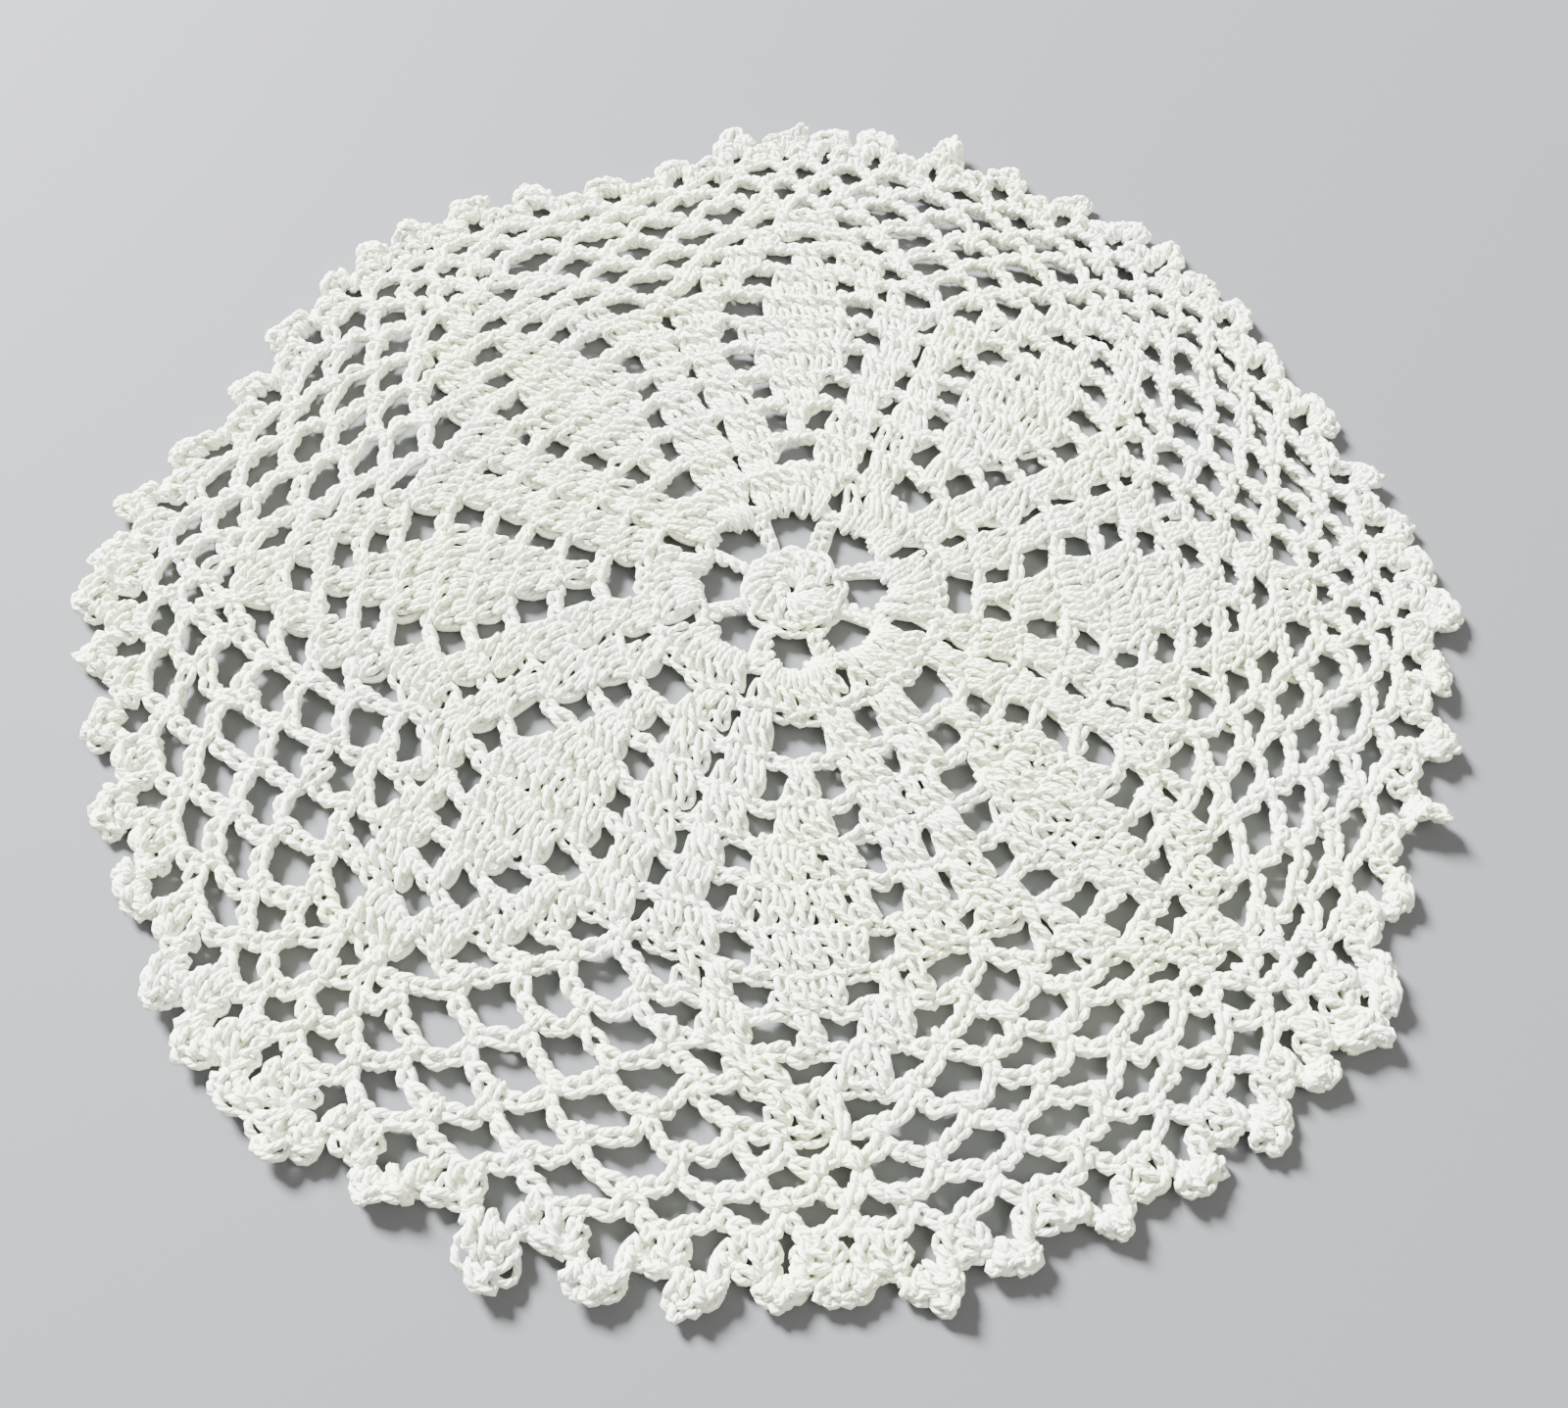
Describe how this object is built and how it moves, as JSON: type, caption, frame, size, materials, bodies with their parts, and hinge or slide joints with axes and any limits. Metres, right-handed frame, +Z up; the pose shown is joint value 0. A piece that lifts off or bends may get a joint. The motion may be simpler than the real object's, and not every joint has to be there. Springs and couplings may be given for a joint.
{
  "type": "crocheted lace doily",
  "caption": "Round crocheted lace doily that lies flat, with leaf shapes round its centre, petal bands, an open net of chain loops and a scalloped edge.",
  "frame": {"origin": "middle of the centre disc, on the plane that the doily lies on", "axes": "+Z up out of the lace's upper face, +Y from the centre roughly towards the first leaf, +X to its right"},
  "size_m": [0.2028, 0.2056, 0.0034],
  "materials": {
    "white_cotton": "matte, slightly fuzzy white cotton crochet thread"
  },
  "bodies": {
    "root": {"doily": "white_cotton"}
  },
  "joints": []
}
